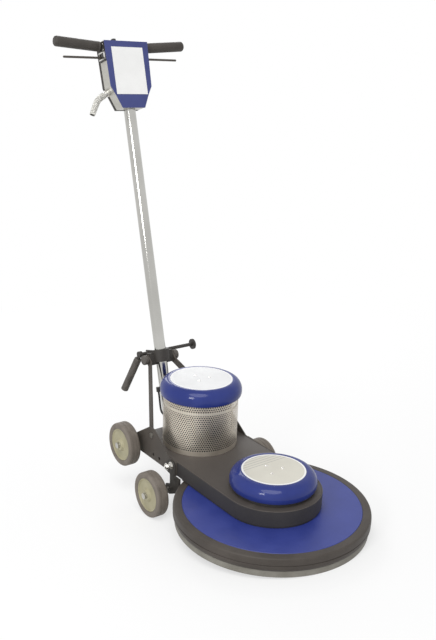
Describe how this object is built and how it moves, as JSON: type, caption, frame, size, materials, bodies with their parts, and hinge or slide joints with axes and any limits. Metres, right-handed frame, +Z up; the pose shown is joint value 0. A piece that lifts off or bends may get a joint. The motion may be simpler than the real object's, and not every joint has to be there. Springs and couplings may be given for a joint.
{
  "type": "floor burnisher",
  "caption": "Walk-behind high speed floor burnisher: round deck, belt guard, upright motor, four wheels and a braced chrome handle with twin grips.",
  "frame": {"origin": "centre of the bounding box on the floor, under the machine as it stands nose down", "axes": "+Z up, +Y to the rear where the operator stands, +X to the operator's left"},
  "size_m": [0.57, 1.0256, 1.4381],
  "materials": {
    "blue_paint": "gloss",
    "black_powder": "textured matt",
    "cover_mesh": "perforated satin",
    "bumper": "satin",
    "skirt": "matt",
    "chrome": "polished",
    "steel": "zinc plated",
    "iron": "cast",
    "alloy": "satin",
    "white_panel": "printed satin",
    "tyre": "matt",
    "hub": "moulded",
    "grip": "ribbed matt",
    "plastic": "moulded",
    "belt": "ribbed",
    "driver_plastic": "moulded",
    "grip_face": "hooked"
  },
  "bodies": {
    "chassis": {"deck_pan": "blue_paint", "bumper_ring": "bumper", "skirt_lip": "skirt", "spindle_housing": "iron", "spindle_bearings": "steel", "chassis_plate": "black_powder", "belt_guard": "black_powder", "driver_cap": "blue_paint", "cap_discs": "white_panel", "disc_screws": "steel", "motor_cover": "cover_mesh", "motor_cap": "blue_paint", "motor_stator": "iron", "motor_end_bells": "alloy", "side_plates": "black_powder", "wheel_brackets": "black_powder", "bracket_bolts": "steel", "tail_crossmember": "black_powder", "pivot_pins": "steel", "wheel_axles": "steel", "drive_belt": "belt"},
    "drive": {"spindle": "steel", "driven_pulley": "alloy", "pad_driver": "driver_plastic", "driver_grip_face": "grip_face"},
    "rotor": {"motor_pulley": "iron", "motor_rotor": "iron", "cooling_fan": "alloy"},
    "handle": {"handle_foot": "steel", "handle_tube": "chrome", "head_band": "alloy", "head_front": "blue_paint", "head_back": "black_powder", "head_plate": "white_panel", "handlebar": "steel", "hand_grips": "grip", "switch_block": "plastic", "head_screws": "steel", "cord_gland": "steel", "cord_grip": "steel", "lead_relief": "plastic", "motor_lead": "grip"},
    "brace": {"brace_bars": "black_powder", "clamp_collar": "black_powder", "clamp_pads": "steel", "brace_boss_bolts": "black_powder", "clamp_rod": "black_powder"},
    "clamp_lever": {"clamp_lever": "black_powder", "clamp_grip": "grip"},
    "switch_lever_left": {"switch_lever_left": "black_powder"},
    "switch_lever_right": {"switch_lever_right": "black_powder"},
    "lockout_button": {"lockout_button": "plastic"},
    "wheel_front_left": {"tyre_front_left": "tyre", "hub_front_left": "hub"},
    "wheel_front_right": {"tyre_front_right": "tyre", "hub_front_right": "hub"},
    "wheel_rear_left": {"tyre_rear_left": "tyre", "hub_rear_left": "hub"},
    "wheel_rear_right": {"tyre_rear_right": "tyre", "hub_rear_right": "hub"}
  },
  "joints": [
    {"name": "drive_spin", "type": "hinge", "parent": "chassis", "child": "drive", "pos_m": [0, -0.22801, 0.06707], "axis": [0, -0.1059, 0.9944], "continuous": true},
    {"name": "rotor_spin", "type": "hinge", "parent": "chassis", "child": "rotor", "pos_m": [0, 0.13245, 0.10544], "axis": [0, -0.1059, 0.9944], "continuous": true},
    {"name": "handle_tilt", "type": "hinge", "parent": "chassis", "child": "handle", "pos_m": [0, 0.29547, 0.16302], "axis": [-1, 0, 0], "range_deg": [0, 30], "deforming": ["motor_lead"]},
    {"name": "brace_swing", "type": "hinge", "parent": "chassis", "child": "brace", "pos_m": [0, 0.17035, 0.21708], "axis": [-1, 0, 0], "range_deg": [0, 30]},
    {"name": "clamp_turn", "type": "hinge", "parent": "brace", "child": "clamp_lever", "pos_m": [0, 0.36874, 0.42291], "axis": [1, 0, 0], "range_deg": [-10, 75]},
    {"name": "switch_left", "type": "hinge", "parent": "handle", "child": "switch_lever_left", "pos_m": [0.052, 0.48781, 1.37689], "axis": [0, -0.9884, 0.1517], "range_deg": [0, 7], "stiffness_Nm_per_rad": 2, "springref_deg": -8.59},
    {"name": "switch_right", "type": "hinge", "parent": "handle", "child": "switch_lever_right", "pos_m": [-0.052, 0.48781, 1.37689], "axis": [0, 0.9884, -0.1517], "range_deg": [0, 7], "stiffness_Nm_per_rad": 2, "springref_deg": -8.59},
    {"name": "lockout_press", "type": "slide", "parent": "handle", "child": "lockout_button", "axis": [0, -0.1517, -0.9884], "range_m": [0, 0.004], "stiffness_N_per_m": 300, "springref_m": -0.003},
    {"name": "wheel_front_left_roll", "type": "hinge", "parent": "chassis", "child": "wheel_front_left", "pos_m": [0, 0.08293, 0.07], "axis": [1, 0, 0], "continuous": true},
    {"name": "wheel_front_right_roll", "type": "hinge", "parent": "chassis", "child": "wheel_front_right", "pos_m": [0, 0.08293, 0.07], "axis": [1, 0, 0], "continuous": true},
    {"name": "wheel_rear_left_roll", "type": "hinge", "parent": "chassis", "child": "wheel_rear_left", "pos_m": [0, 0.27598, 0.16949], "axis": [1, 0, 0], "continuous": true},
    {"name": "wheel_rear_right_roll", "type": "hinge", "parent": "chassis", "child": "wheel_rear_right", "pos_m": [0, 0.27598, 0.16949], "axis": [1, 0, 0], "continuous": true}
  ],
  "couplings": [
    {"joint": "brace_swing", "follows": "handle_tilt", "ratio": 1},
    {"joint": "rotor_spin", "follows": "drive_spin", "ratio": 2.2941}
  ]
}
